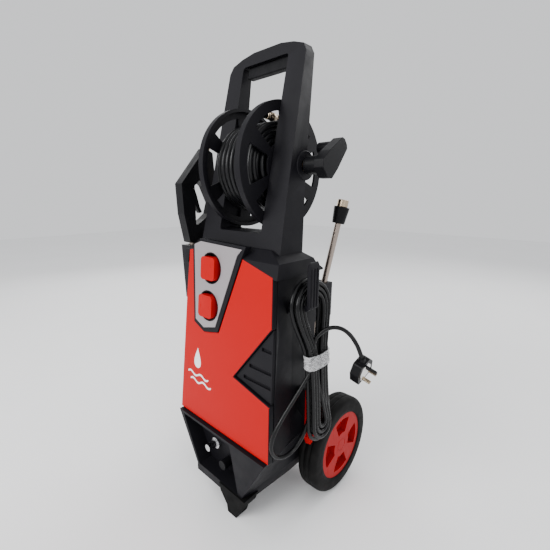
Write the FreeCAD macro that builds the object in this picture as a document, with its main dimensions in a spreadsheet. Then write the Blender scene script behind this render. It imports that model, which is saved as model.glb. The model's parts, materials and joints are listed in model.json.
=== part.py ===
"""Upright electric pressure washer on two wheels, with a hose reel between the handle posts.

Row frame, in millimetres: +Z up, the front faces -Y, +X is the crank side,
and the origin is on the floor below the middle of the machine.
"""
import FreeCAD, Part
import math
import os

V = FreeCAD.Vector
doc = FreeCAD.newDocument("pressure_washer")

SIZES = {
    "body_floor": 171.0,
    "body_top": 528.0,
    "wall": 3.0,
    "front_foot_y": -158.5,
    "front_lean": 4.619,
    "cover_depth": 13.6,
    "back_y": 10.0,
    "post_inner": 60.5,
    "window_floor": 602.0,
    "window_top": 932.0,
    "reel_y": -21.0,
    "reel_z": 728.0,
    "reel_radius": 122.0,
    "reel_half_width": 59.0,
    "flange_thickness": 4.5,
    "rim_thickness": 9.0,
    "drum_radius": 38.0,
    "winding_radius": 88.0,
    "shaft_radius": 8.0,
    "running_gap": 0.05,
    "bush_radius": 12.0,
    "bearing_radius": 27.0,
    "bearing_face": 112.0,
    "crank_reach": 50.0,
    "crank_plate_x": 146.0,
    "crank_plate_depth": 21.0,
    "grip_radius": 11.0,
    "grip_length": 30.0,
    "pin_radius": 4.0,
    "wheel_radius": 110.0,
    "wheel_y": 60.0,
    "wheel_x": 130.0,
    "wheel_width": 46.0,
    "hub_radius": 77.0,
    "axle_radius": 8.0,
    "knob_radius": 24.0,
    "cup_radius": 33.0,
    "knob_shaft": 4.0,
    "gun_x": -160.0,
    "gun_half": 13.0,
    "barrel_radius": 9.0,
    "holster_face": -178.0,
    "lance_radius": 6.5,
    "lance_length": 392.0,
    "cord_radius": 4.0,
    "hank_depth": 22.0,
    "motor_radius": 52.0,
    "motor_length": 165.0,
    "inlet_radius": 8.0,
}

sheet = doc.addObject("Spreadsheet::Sheet", "sizes")
for line, (word, number) in enumerate(SIZES.items(), start=1):
    sheet.set(f"A{line}", word)
    sheet.set(f"B{line}", str(number))
    sheet.setAlias(f"B{line}", word)
doc.recompute()

pieces = []


def size(word):
    """A driving dimension, read from the sheet."""
    return float(sheet.get(word))


FRONT = FreeCAD.Placement(
    V(0, size("front_foot_y"), size("body_floor")),
    FreeCAD.Rotation(V(1, 0, 0), 90.0 - size("front_lean")),
)
"""Leaning front plane: X across, Y up the slope, Z outward."""

ALONG_X = FreeCAD.Rotation(V(0, 1, 0), 90.0)
ALONG_Y = FreeCAD.Rotation(V(1, 0, 0), -90.0)
ALONG_FRONT = FreeCAD.Rotation(V(1, 0, 0), 90.0)
UPRIGHT = FreeCAD.Rotation()


def slope(level):
    """Distance up the front plane that reaches a level above the floor."""
    return (level - size("body_floor")) / math.cos(math.radians(size("front_lean")))


def on_front(x, level, out=0.0):
    """Placement on the front plane, its Z axis pointing out of the machine."""
    shift = FreeCAD.Placement(V(x, slope(level), out), UPRIGHT)
    return FRONT.multiply(shift)


def front_outline(points):
    """Points given across and above the floor, laid on the front plane."""
    return [(x, slope(level)) for x, level in points]


# ---------------------------------------------------------------- shape helpers


def keep(obj):
    """Count an object as one physical piece of the machine."""
    pieces.append(obj)
    return obj


def name(obj, label, at=(0, 0, 0), turn=UPRIGHT):
    obj.Label = label
    obj.Placement = FreeCAD.Placement(V(*at), turn)
    return obj


def cylinder(label, radius, length, at, turn=UPRIGHT):
    """A cylinder whose radius and height are expressions."""
    obj = doc.addObject("Part::Cylinder", label)
    obj.setExpression("Radius", radius)
    obj.setExpression("Height", length)
    return name(obj, label, at, turn)


def cone(label, start, end, length, at, turn=UPRIGHT):
    obj = doc.addObject("Part::Cone", label)
    obj.setExpression("Radius1", start)
    obj.setExpression("Radius2", end)
    obj.setExpression("Height", length)
    return name(obj, label, at, turn)


def box(label, lengths, at, turn=UPRIGHT):
    obj = doc.addObject("Part::Box", label)
    for side, length in zip(("Length", "Width", "Height"), lengths):
        obj.setExpression(side, length)
    return name(obj, label, at, turn)


def fuse(label, *shapes):
    obj = doc.addObject("Part::MultiFuse", label)
    obj.Shapes = list(shapes)
    obj.Refine = True
    return name(obj, label)


def cut(label, base, *tools):
    obj = doc.addObject("Part::Cut", label)
    obj.Base = base
    obj.Tool = tools[0] if len(tools) == 1 else fuse(label + "_tools", *tools)
    obj.Refine = True
    return name(obj, label)


def common(label, first, second):
    obj = doc.addObject("Part::Common", label)
    obj.Base = first
    obj.Tool = second
    return name(obj, label)


def group(label, members):
    """Identical fasteners kept as one node of separate solids."""
    obj = doc.addObject("Part::Compound", label)
    obj.Links = members
    return name(obj, label)


def body(label, placement=FreeCAD.Placement()):
    obj = doc.addObject("PartDesign::Body", label)
    obj.Label = label
    obj.Placement = placement
    return obj


def origin_part(owner, role):
    return [item for item in owner.Origin.OriginFeatures if item.Role == role][0]


def corner_points(points, index, radius):
    """Where a rounded corner starts, its middle, and where it ends."""
    corner = V(*points[index], 0)
    before = V(*points[index - 1], 0) - corner
    after = V(*points[(index + 1) % len(points)], 0) - corner
    half = before.getAngle(after) / 2.0
    reach = radius / math.tan(half)
    bisector = (before.normalize() + after.normalize()).normalize()
    middle = corner + bisector * (radius / math.sin(half) - radius)
    return corner + before * reach, middle, corner + after * reach


def add_outline(sketch, points, radius=0.0):
    """A closed outline of straight sides with its corners rounded to one radius."""
    count = len(points)
    if radius <= 0.0:
        for index in range(count):
            start = V(*points[index], 0)
            end = V(*points[(index + 1) % count], 0)
            sketch.addGeometry(Part.LineSegment(start, end), False)
        return
    corners = [corner_points(points, index, radius) for index in range(count)]
    for index in range(count):
        start, middle, end = corners[index]
        sketch.addGeometry(Part.Arc(start, middle, end), False)
        sketch.addGeometry(Part.LineSegment(end, corners[(index + 1) % count][0]), False)


def add_circle(sketch, x, y, radius):
    sketch.addGeometry(Part.Circle(V(x, y, 0), V(0, 0, 1), radius), False)


def add_sector(sketch, inner, outer, half_angle):
    """A window between two radii, centred on the sketch's X axis."""

    def at(radius, angle):
        return V(radius * math.cos(angle), radius * math.sin(angle), 0)

    turn = math.radians(half_angle)
    sketch.addGeometry(Part.Arc(at(outer, -turn), at(outer, 0), at(outer, turn)), False)
    sketch.addGeometry(Part.LineSegment(at(outer, turn), at(inner, turn)), False)
    sketch.addGeometry(Part.Arc(at(inner, turn), at(inner, 0), at(inner, -turn)), False)
    sketch.addGeometry(Part.LineSegment(at(inner, -turn), at(outer, -turn)), False)


def sketch_on(owner, role, offset=0.0):
    """A sketch on one of the body's origin planes, moved along its normal."""
    sketch = owner.newObject("Sketcher::SketchObject", owner.Label + "_sketch")
    sketch.AttachmentSupport = [(origin_part(owner, role), "")]
    sketch.MapMode = "FlatFace"
    sketch.AttachmentOffset = FreeCAD.Placement(V(0, 0, offset), UPRIGHT)
    return sketch


def pad(owner, sketch, length, side="One side", reverse=False):
    feature = owner.newObject("PartDesign::Pad", owner.Label + "_pad")
    feature.Profile = sketch
    feature.setExpression("Length", length)
    feature.SideType = side
    feature.Reversed = reverse
    return feature


def pocket(owner, sketch, length, side="One side", reverse=False):
    feature = owner.newObject("PartDesign::Pocket", owner.Label + "_pocket")
    feature.Profile = sketch
    feature.setExpression("Length", length)
    feature.SideType = side
    feature.Reversed = reverse
    return feature


def polar(owner, feature, axis_role, count):
    pattern = owner.newObject("PartDesign::PolarPattern", owner.Label + "_pattern")
    pattern.Originals = [feature]
    pattern.Axis = (origin_part(owner, axis_role), [""])
    pattern.Angle = 360
    pattern.Occurrences = count
    owner.Tip = pattern
    return pattern


def profile(label, role, points, length, offset=0.0, side="One side", reverse=False,
            radius=0.0, placement=FreeCAD.Placement()):
    """A body padded from one outline."""
    owner = body(label, placement)
    sketch = sketch_on(owner, role, offset)
    add_outline(sketch, points, radius)
    pad(owner, sketch, length, side, reverse)
    return owner


def loft(label, role, sections, placement=FreeCAD.Placement()):
    """A body with straight sides between two or more outlines."""
    owner = body(label, placement)
    sketches = []
    for offset, points in sections:
        sketch = sketch_on(owner, role, offset)
        add_outline(sketch, points)
        sketches.append(sketch)
    feature = owner.newObject("PartDesign::AdditiveLoft", label + "_loft")
    feature.Profile = sketches[0]
    feature.Sections = sketches[1:]
    feature.Ruled = True
    return owner


def rectangle(x_low, x_high, y_low, y_high):
    return [(x_low, y_low), (x_high, y_low), (x_high, y_high), (x_low, y_high)]


# ---------------------------------------------------------------- base and casings


def base_shell():
    """Tub under the body, with the hose recess in its front and arms out to the axle."""
    front = [(-140, 171), (-76, 57), (-76, 38), (76, 38), (76, 57), (140, 171)]
    middle = [(-127, 171), (-122, 104), (-96, 52), (96, 52), (122, 104), (127, 171)]
    tub = loft("base_tub", "XZ_Plane", [(166, front), (30, middle)])
    rear_sketch = sketch_on(tub, "XZ_Plane", 30)
    add_outline(rear_sketch, middle)
    pad(tub, rear_sketch, "112", reverse=True)
    inside = sketch_on(tub, "XY_Plane", 171)
    add_outline(inside, rectangle(-84, 84, -126, 0))
    pocket(tub, inside, "108")
    ledge = sketch_on(tub, "YZ_Plane")
    add_outline(ledge, [(10, 180), (10, 160), (90, 132), (90, 180)])
    pocket(tub, ledge, "300", side="Symmetric")
    recess = sketch_on(tub, "XZ_Plane", 170)
    add_outline(recess, [(-124, 165), (40, 165), (65, 57), (-68, 57)])
    pocket(tub, recess, "40")
    axle_hole = cylinder("axle_hole", "sizes.axle_radius", "300",
                         (-150, size("wheel_y"), size("wheel_radius")), ALONG_X)
    inlet_hole = cylinder("inlet_hole", "sizes.inlet_radius - 1", "20", (-40, -115, 112), ALONG_FRONT)
    return keep(cut("base_shell", tub, axle_hole, inlet_hole))


FOOT_LEVELS = ((0, 36, 62, -138), (16, 33, 67, -137), (40, 12, 84, -132), (57, 8, 88, -128))


def front_feet(base):
    """Two rubber feet that flare out under the base; the left one stands further back."""
    feet = []
    for word, sign, back in (("right", 1, 0), ("left", -1, 36)):
        sections = []
        for level, x_low, x_high, y_high in FOOT_LEVELS:
            outline = rectangle(x_low, x_high, -170 + back, y_high + back)
            sections.append((level, [(sign * x, y) for x, y in outline]))
        blank = loft(f"foot_{word}_blank", "XY_Plane", sections)
        feet.append(cut(f"foot_{word}", blank, base))
    keep(group("front_feet", feet))


CASING_FOOT = (size("body_floor"), 144, 128, 126)
CASING_HEAD = (size("body_top"), 127.6, 124, 121)
"""Level, then half widths at the front, the middle and the back."""


def casing_outline(level, front_half, middle_half, back_half):
    """Front, middle and back corner of the casing's right side at one level."""
    lean = math.tan(math.radians(size("front_lean")))
    face = size("front_foot_y") + (level - size("body_floor")) * lean
    face += size("cover_depth") / math.cos(math.radians(size("front_lean"))) + 0.05
    return [(front_half, face), (middle_half, -70), (back_half, size("back_y"))]


def mirrored(corners):
    return [(-x, y) for x, y in corners] + corners[::-1]


def shell_section(corners):
    """Three-sided casing wall at one level, open to the front."""
    wall = size("wall")
    front, middle, back = corners
    inner = [(front[0] - wall, front[1]), (middle[0] - wall, middle[1]),
             (back[0] - wall, back[1] - wall)]
    return mirrored(corners) + inner + [(-x, y) for x, y in inner[::-1]]


def rear_shell():
    """Black casing behind the front cover: both sides and the back in one moulding."""
    low = shell_section(casing_outline(*CASING_FOOT))
    high = shell_section(casing_outline(*CASING_HEAD))
    return keep(loft("rear_shell", "XY_Plane", [(CASING_FOOT[0], low), (CASING_HEAD[0], high)]))


COVER = [(-144, 172.5), (144, 172.5), (137, 289), (36, 313), (132, 438), (127, 532), (46, 556),
         (-16, 393), (-62, 383), (-97, 398), (-108, 560), (-124, 557), (-132, 438)]


def front_cover():
    """Red front, notched on one side and cut away round the control panel."""
    return keep(profile("front_cover", "XY_Plane", front_outline(COVER), "sizes.cover_depth",
                        reverse=True, placement=FRONT))


def louvre_panel():
    """Black insert in the notch, with cooling slots."""
    outline = [(136.5, 292), (38, 315), (131, 435)]
    panel = profile("louvre_panel", "XY_Plane", front_outline(outline), "sizes.cover_depth - 6",
                    offset=-size("cover_depth"), placement=FRONT)
    for level, start, end in ((392, 105, 129), (350, 74, 131), (322, 60, 132)):
        slot = sketch_on(panel, "XY_Plane", -6)
        add_outline(slot, front_outline(rectangle(start, end, level - 3.5, level + 3.5)))
        pocket(panel, slot, "4.5")
    return keep(panel)


def top_cover(handle, front):
    """Sloped lid over the body, shaped round the posts, the front cover and the panel."""
    side = [(-131, 528), (-127, 555), (-103, 574), (-60, 576), (-38, 572), (-14, 545), (10, 531),
            (10, 528)]
    lid = profile("lid_blank", "YZ_Plane", side, "280", side="Symmetric")
    for sign in (-1, 1):
        facet = sketch_on(lid, "XZ_Plane", 140)
        corner = [(94, 578), (94, 576), (138, 556), (138, 520), (150, 520), (150, 578)]
        add_outline(facet, [(sign * x, z) for x, z in corner])
        pocket(lid, facet, "160")
    inside = sketch_on(lid, "XY_Plane", 528)
    add_outline(inside, rectangle(-100, 100, -118, -42))
    pocket(lid, inside, "27", reverse=True)
    return keep(cut("top_cover", lid, handle, front, doc.getObject("panel_space"),
                    doc.getObject("cover_space")))


def rear_grille():
    """Slotted plate over the cooling outlet in the back."""
    plate = profile("rear_grille", "XZ_Plane", rectangle(-60, 60, 300, 440), "4",
                    offset=-(size("back_y") + 4), radius=8.0)
    for row in range(6):
        slot = sketch_on(plate, "XZ_Plane", -(size("back_y") + 4))
        low = 314 + 20 * row
        add_outline(slot, rectangle(-48, 48, low, low + 9))
        pocket(plate, slot, "2.5", reverse=False)
    return keep(plate)


GUARD = [(124, 285), (157, 285), (160, 245), (170, 215), (170, 196), (161, 165), (150, 163),
         (146, 172), (145, 215), (124, 236)]


def wheel_guards():
    """Red ribbed fin in front of each wheel."""
    guards = []
    for word, sign in (("left", -1), ("right", 1)):
        face = [(sign * x, z) for x, z in GUARD]
        guard = profile(f"wheel_guard_{word}_blank", "XZ_Plane", face, "7", offset=41)
        for rib in range(3):
            groove = sketch_on(guard, "XZ_Plane", 48)
            left = 150 + 6 * rib
            edges = (left, left + 2.5) if sign > 0 else (-left - 2.5, -left)
            add_outline(groove, rectangle(edges[0], edges[1], 178, 240 - 12 * rib))
            pocket(guard, groove, "3")
        tools = [doc.getObject("shell_solid"), doc.getObject("base_tub")]
        guards.append(cut(f"wheel_guard_{word}", guard, *tools))
    keep(group("wheel_guards", guards))


# ---------------------------------------------------------------- control panel


PANEL = [(-101, 570), (-80, 578), (48, 573), (35, 560), (-23, 403), (-61, 393), (-90, 406)]
BEZEL = [(-108, 566), (-84, 584), (57, 579), (46, 556), (-16, 393), (-62, 383), (-97, 398)]
KNOBS = (("power", -43, 525), ("pressure", -48, 444))


def panel_hole(label, x, level):
    return cylinder(label, "sizes.cup_radius", "40", tuple(on_front(x, level, -30).Base),
                    FRONT.Rotation)


def fascia_bezel():
    """Black frame that carries the control panel."""
    frame = profile("bezel_blank", "XY_Plane", front_outline(BEZEL),
                    "sizes.cover_depth + 2.5", offset=-size("cover_depth"), placement=FRONT)
    seat = sketch_on(frame, "XY_Plane", 2.5)
    add_outline(seat, front_outline(PANEL))
    pocket(frame, seat, "3.5")
    holes = [panel_hole(f"bezel_hole_{word}", x, level) for word, x, level in KNOBS]
    return keep(cut("fascia_bezel", frame, *holes))


def control_fascia():
    """Silver plate with a round well for each knob."""
    plate = profile("fascia_blank", "XY_Plane", front_outline(PANEL), "5", offset=-1.0,
                    placement=FRONT)
    holes = [panel_hole(f"fascia_hole_{word}", x, level) for word, x, level in KNOBS]
    return keep(cut("control_fascia", plate, *holes))


def knob_set(word, x, level):
    """Red block knob on its own stem, square to the front plane; returns the black cup round it."""
    depth = size("cover_depth")
    outer = cylinder(f"{word}_cup_blank", "sizes.cup_radius", "sizes.cover_depth + 4",
                     tuple(on_front(x, level, -depth).Base), FRONT.Rotation)
    well = cylinder(f"{word}_cup_well", "sizes.cup_radius - 2.2", "sizes.cover_depth + 10",
                    tuple(on_front(x, level, 2.5 - depth).Base), FRONT.Rotation)
    bore = cylinder(f"{word}_cup_bore", "sizes.knob_shaft + 0.4", "30",
                    tuple(on_front(x, level, -depth - 5).Base), FRONT.Rotation)
    cup = cut(f"{word}_knob_cup", outer, well, bore)
    knob = body(f"{word}_knob", on_front(x, level, 3.5 - depth))
    half = size("knob_radius")
    disc = sketch_on(knob, "XY_Plane")
    add_circle(disc, 0, 0, half)
    pad(knob, disc, "7")
    block = sketch_on(knob, "XY_Plane", 7)
    add_outline(block, rectangle(2 - half, half - 2, -half, half), 8.0)
    pad(knob, block, "16")
    stem = sketch_on(knob, "XY_Plane")
    add_circle(stem, 0, 0, size("knob_shaft"))
    pad(knob, stem, "24", reverse=True)
    keep(knob)
    return cup


# ---------------------------------------------------------------- handle


def handle_frame():
    """Two leaning posts, the arched top bar and the cross bar under the reel."""
    side = [(-103.3, 550), (-9.9, 958), (12, 958), (-16.4, 735), (-32, 579), (-34.9, 550)]
    depth = profile("handle_side", "YZ_Plane", side, "260", side="Symmetric")
    front = body("handle_front")
    outline = sketch_on(front, "XZ_Plane", 110)
    right = [(68, 574), (118, 550), (111.5, 665), (102, 927), (94, 941), (69, 950), (36, 956)]
    left = [(-x, z) for x, z in reversed(right)]
    add_outline(outline, right + left)
    inner = size("post_inner")
    window = rectangle(-inner, inner, size("window_floor"), size("window_top"))
    add_outline(outline, window, 6.0)
    pad(front, outline, "150", reverse=True)
    frame = common("handle_solid", depth, front)
    at = (-130, size("reel_y"), size("reel_z"))
    seats = cylinder("bearing_seats", "sizes.bearing_radius", "260", at, ALONG_X)
    at = (-inner, size("reel_y"), size("reel_z"))
    room = cylinder("reel_room", "sizes.reel_radius + 3.5", "2 * sizes.post_inner", at, ALONG_X)
    return keep(cut("handle_frame", frame, seats, room))


def handle_grip():
    """Soft grip set back under the top bar."""
    points = [(-12, 909), (6, 909), (9, 931.8), (-7, 931.8)]
    return keep(profile("handle_grip", "YZ_Plane", points, "2 * (sizes.post_inner - 6.5)",
                        side="Symmetric", radius=3.0))


def reel_bearings():
    """A moulded bearing block in each post, each with a pressed bush."""
    depth = size("bearing_face") - size("post_inner")
    blocks = []
    bushes = []
    for word, start in (("left", -size("bearing_face")), ("right", size("post_inner"))):
        at = (start, size("reel_y"), size("reel_z"))
        block = cylinder(f"bearing_{word}_blank", "sizes.bearing_radius", str(depth), at, ALONG_X)
        bore = cylinder(f"bearing_{word}_bore", "sizes.bush_radius", str(depth), at, ALONG_X)
        blocks.append(cut(f"reel_bearing_{word}", block, bore))
        ring = cylinder(f"bush_{word}_blank", "sizes.bush_radius", str(depth), at, ALONG_X)
        hole = cylinder(f"bush_{word}_hole", "sizes.shaft_radius + sizes.running_gap",
                        str(depth), at, ALONG_X)
        bushes.append(cut(f"reel_bush_{word}", ring, hole))
    keep(group("reel_bearings", blocks))
    keep(group("reel_bushes", bushes))


# ---------------------------------------------------------------- hose reel


def reel_flange(word, sign):
    """Spoked side plate with a wide raised rim."""
    inner_face = sign * (size("reel_half_width") - size("flange_thickness"))
    at = FreeCAD.Placement(V(inner_face, size("reel_y"), size("reel_z")), UPRIGHT)
    flange = body(f"reel_flange_{word}", at)
    backwards = sign < 0
    disc = sketch_on(flange, "YZ_Plane")
    add_circle(disc, 0, 0, size("reel_radius"))
    add_circle(disc, 0, 0, size("shaft_radius"))
    pad(flange, disc, "sizes.flange_thickness", reverse=backwards)
    rim = sketch_on(flange, "YZ_Plane")
    add_circle(rim, 0, 0, size("reel_radius"))
    add_circle(rim, 0, 0, size("reel_radius") - 7)
    pad(flange, rim, "sizes.rim_thickness", reverse=not backwards)
    window = sketch_on(flange, "YZ_Plane", -20)
    add_sector(window, 50, 103, 21)
    opening = pocket(flange, window, "40", reverse=True)
    polar(flange, opening, "X_Axis", 6)
    return flange


def reel():
    """Shaft, drum, flanges, the wound hose and its end fitting."""
    centre_y = size("reel_y")
    centre_z = size("reel_z")
    keep(cylinder("reel_shaft", "sizes.shaft_radius", "264", (-114, centre_y, centre_z), ALONG_X))
    half = size("reel_half_width") - size("flange_thickness")
    at = (-half, centre_y, centre_z)
    drum = cylinder("drum_blank", "sizes.drum_radius", str(2 * half), at, ALONG_X)
    bore = cylinder("drum_bore", "sizes.shaft_radius", str(2 * half), at, ALONG_X)
    keep(cut("reel_drum", drum, bore))
    keep(group("reel_flanges", [reel_flange("left", -1), reel_flange("right", 1)]))
    gap = 0.6
    at = (-half + gap, centre_y, centre_z)
    length = str(2 * (half - gap))
    hose = cylinder("hose_blank", "sizes.winding_radius", length, at, ALONG_X)
    core = cylinder("hose_core", "sizes.drum_radius", length, at, ALONG_X)
    keep(cut("wound_hose", hose, core))
    top = centre_z + size("winding_radius") + 8.6
    body_part = cylinder("hose_nut", "8.5", "20", (26, centre_y - 18, top), ALONG_Y)
    nose = cylinder("hose_nose", "6", "18", (26, centre_y + 2, top), ALONG_Y)
    keep(fuse("hose_fitting", body_part, nose))


def crank():
    """Short crank arm on the end of the reel shaft, with a free-turning grip inside it."""
    at = FreeCAD.Placement(
        V(size("crank_plate_x"), size("reel_y"), size("reel_z")),
        FreeCAD.Rotation(V(1, 0, 0), 42.0),
    )
    reach = size("crank_reach")
    arm = body("crank_arm_blank", at)
    plate = sketch_on(arm, "YZ_Plane")
    add_outline(plate, [(-23, -12), (-13, -22), (12, -21), (reach + 9, -13), (reach + 13, -6),
                        (reach + 13, 6), (reach + 9, 13), (12, 21), (-13, 22), (-23, 12)], 3.0)
    pad(arm, plate, "sizes.crank_plate_depth")
    hub = sketch_on(arm, "YZ_Plane")
    add_circle(hub, 0, 0, 17)
    pad(arm, hub, "30", reverse=True)
    centre_y = size("reel_y")
    centre_z = size("reel_z")
    angle = math.radians(42.0)
    pin_y = centre_y + reach * math.cos(angle)
    pin_z = centre_z + reach * math.sin(angle)
    shaft_bore = cylinder("crank_bore", "sizes.shaft_radius", "40", (110, centre_y, centre_z), ALONG_X)
    pin_bore = cylinder("crank_pin_bore", "sizes.pin_radius", "20", (140, pin_y, pin_z), ALONG_X)
    keep(cut("crank_arm", arm, shaft_bore, pin_bore))
    stem = cylinder("pin_stem", "sizes.pin_radius", "45.2", (114.8, pin_y, pin_z), ALONG_X)
    head = cylinder("pin_head", "sizes.pin_radius + 2", "1.4", (113.6, pin_y, pin_z), ALONG_X)
    keep(fuse("crank_grip_pin", stem, head))
    sleeve = cylinder("grip_blank", "sizes.grip_radius", "sizes.grip_length",
                      (115.4, pin_y, pin_z), ALONG_X)
    hole = cylinder("grip_hole", "sizes.pin_radius + sizes.running_gap", "sizes.grip_length",
                    (115.4, pin_y, pin_z), ALONG_X)
    keep(cut("crank_grip", sleeve, hole))


# ---------------------------------------------------------------- wheels


def wheel(word, sign):
    """Tyre, pocketed hub and cap that turn together on the axle."""
    centre = V(sign * size("wheel_x"), size("wheel_y"), size("wheel_radius"))
    turn = UPRIGHT if sign > 0 else FreeCAD.Rotation(V(0, 0, 1), 180.0)
    at = FreeCAD.Placement(centre, turn)
    width = size("wheel_width")
    radius = size("wheel_radius")
    hub_radius = size("hub_radius")
    tyre = body(f"wheel_{word}_tyre", at)
    section = sketch_on(tyre, "XY_Plane")
    add_outline(section, [(0, hub_radius), (width, hub_radius), (width, radius - 14),
                          (width - 9, radius), (9, radius), (0, radius - 14)])
    spin = tyre.newObject("PartDesign::Revolution", f"wheel_{word}_tyre_turn")
    spin.Profile = section
    spin.ReferenceAxis = (section, ["H_Axis"])
    spin.Angle = 360
    keep(tyre)
    hub = body(f"wheel_{word}_hub", at)
    disc = sketch_on(hub, "YZ_Plane", 2)
    add_circle(disc, 0, 0, hub_radius)
    add_circle(disc, 0, 0, size("axle_radius") + size("running_gap"))
    pad(hub, disc, "sizes.wheel_width - 4")
    seat = sketch_on(hub, "YZ_Plane", width - 2)
    add_circle(seat, 0, 0, 15)
    pocket(hub, seat, "8")
    window = sketch_on(hub, "YZ_Plane", width - 2)
    add_sector(window, 30, 64, 25)
    well = pocket(hub, window, "14")
    polar(hub, well, "X_Axis", 4)
    keep(hub)
    cap = cylinder(f"wheel_{word}_cap", "14.8", "4.5", (0, 0, 0))
    cap.Placement = at.multiply(FreeCAD.Placement(V(width - 6.5, 0, 0), ALONG_X))
    keep(cap)


def axle():
    """Steel axle through the base, with a spacer between the base and each wheel."""
    half = size("wheel_x") + size("wheel_width") - 7.4
    spacers = []
    keep(cylinder("axle", "sizes.axle_radius", str(2 * half),
                  (-half, size("wheel_y"), size("wheel_radius")), ALONG_X))
    for word, sign in (("left", -1), ("right", 1)):
        start = 127.2 if sign > 0 else -129.8
        at = (start, size("wheel_y"), size("wheel_radius"))
        washer = cylinder(f"washer_{word}_blank", "15", "2.6", at, ALONG_X)
        hole = cylinder(f"washer_{word}_hole", "sizes.axle_radius", "2.6", at, ALONG_X)
        spacers.append(cut(f"axle_spacer_{word}", washer, hole))
    keep(group("axle_spacers", spacers))


# ---------------------------------------------------------------- spray gun and lance


def gun():
    """Trigger gun hung muzzle down on the left side."""
    outer = [(-108, 566), (-121.5, 632), (-124.5, 698), (-81, 749), (-56, 778), (-36, 768),
             (-30, 700), (-28, 652), (-36, 618), (-60, 590), (-76, 566)]
    loop = [(-90, 694), (-76, 706), (-60, 694), (-42, 656), (-50, 630), (-66, 618), (-90, 604)]
    middle = size("gun_x")
    for word, offset in (("outer", middle - size("gun_half")), ("inner", middle)):
        half = body(f"gun_{word}_blank")
        sketch = sketch_on(half, "YZ_Plane", offset)
        add_outline(sketch, outer, 3.0)
        add_outline(sketch, loop, 3.0)
        pad(half, sketch, "sizes.gun_half")
        slot = box(f"gun_{word}_slot", ("5.6", "22", "26"),
                   (middle - 5.6 if word == "outer" else middle, -105, 674))
        pivot = cylinder(f"gun_{word}_pivot", "2.5", "30", (middle - 15, -94, 687), ALONG_X)
        keep(cut(f"gun_shell_{word}", half, slot, pivot))
    lever = body("trigger_blank")
    sketch = sketch_on(lever, "YZ_Plane", middle - 5)
    add_outline(sketch, [(-100, 694), (-87, 694), (-79, 672), (-72, 646), (-66, 634), (-74, 632),
                         (-84, 650), (-89, 676), (-100, 681)], 1.5)
    pad(lever, sketch, "10")
    bore = cylinder("trigger_bore", "2.55", "14", (middle - 7, -94, 687), ALONG_X)
    keep(cut("gun_trigger", lever, bore))
    keep(cylinder("trigger_pin", "2.5", "24", (middle - 12, -94, 687), ALONG_X))
    keep(cylinder("gun_barrel", "sizes.barrel_radius", "134", (middle, -92, 432)))
    keep(cylinder("gun_hose_inlet", "8", "20", (middle, -46, 773), FreeCAD.Rotation(V(1, 0, 0), -26.57)))


FIXED_TO = ("shell_solid", "front_solid", "front_cover", "top_cover")


def gun_holster():
    """Moulded tube on the casing's left side that takes the gun's barrel."""
    face = size("holster_face")
    low = rectangle(face + 3, -124, -108, -75)
    high = rectangle(face, -120, -112, -72)
    blank = loft("holster_blank", "XY_Plane", [(432, low), (560, high)])
    bore = cylinder("holster_bore", "11.5", "200", (size("gun_x"), -92, 400))
    keep(cut("gun_holster", blank, bore, *[doc.getObject(word) for word in FIXED_TO]))


LANCE_FOOT = V(79, 25, 252)
LANCE_WAY = V(0.127, 0.15, 1.0).normalize()


def along_lance(distance):
    return tuple(LANCE_FOOT + LANCE_WAY * distance)


def lance():
    """Steel lance with a collar and a brass nozzle, leaning back in its clip."""
    turn = FreeCAD.Rotation(V(0, 0, 1), LANCE_WAY)
    keep(cylinder("lance_tube", "sizes.lance_radius", "sizes.lance_length", along_lance(0), turn))
    collar = cone("collar_blank", "13", "16.5", "35", along_lance(370), turn)
    bore = cylinder("collar_bore", "sizes.lance_radius", "50", along_lance(365), turn)
    keep(cut("lance_collar", collar, bore))
    neck = cylinder("nozzle_neck", "sizes.lance_radius", "13", along_lance(size("lance_length")), turn)
    nose = cylinder("nozzle_nose", "11.5", "15", along_lance(405), turn)
    keep(fuse("lance_nozzle", neck, nose))
    guide = cylinder("clip_bore", "sizes.lance_radius + 1", "460", along_lance(-2), turn)
    clip = box("clip_blank", ("31", "64", "76"), (90, size("back_y"), 411))
    keep(cut("lance_clip", clip, guide))
    cup = box("socket_blank", ("34", "36", "34"), (63, size("back_y"), 234))
    keep(cut("lance_socket", cup, guide))


# ---------------------------------------------------------------- cord and hook


def cord_hook():
    """Arm and upturned lip on the right side that the cord hangs from."""
    outline = [(118, 462), (134, 478), (170, 480), (170, 552), (174, 560), (178, 552), (178, 474),
               (170, 468), (136, 466), (118, 440)]
    arm = profile("hook_blank", "XZ_Plane", outline, "28", offset=60)
    keep(cut("cord_hook", arm, *[doc.getObject(word) for word in FIXED_TO]))


HANK_PLACE = FreeCAD.Placement(V(145, 0, 500), FreeCAD.Rotation(V(0, 1, 0), -5.43))


def cord_hank():
    """The wound cord as one closed solid, pinched at its tie."""
    upper = [(-78, -133), (-96, -70), (-120, -20), (-117, 8), (-90, 26), (-40, 24), (0, 8),
             (12, -25), (10, -95), (-13, -128)]
    lower = [(-11, -140), (0, -190), (2, -240), (-3, -290), (-24, -316), (-58, -316), (-80, -290),
             (-92, -240), (-92, -195), (-80, -145)]
    upper_hole = [(-46, -98), (-80, -70), (-98, -30), (-94, -8), (-80, 2), (-40, 2), (-14, -10),
                  (-10, -30), (-14, -84), (-28, -98)]
    hank = body("cord_hank", HANK_PLACE)
    sketch = sketch_on(hank, "YZ_Plane")
    add_outline(sketch, upper + lower, 4.0)
    add_outline(sketch, upper_hole, 4.0)
    pad(hank, sketch, "sizes.hank_depth")
    keep(hank)


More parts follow.
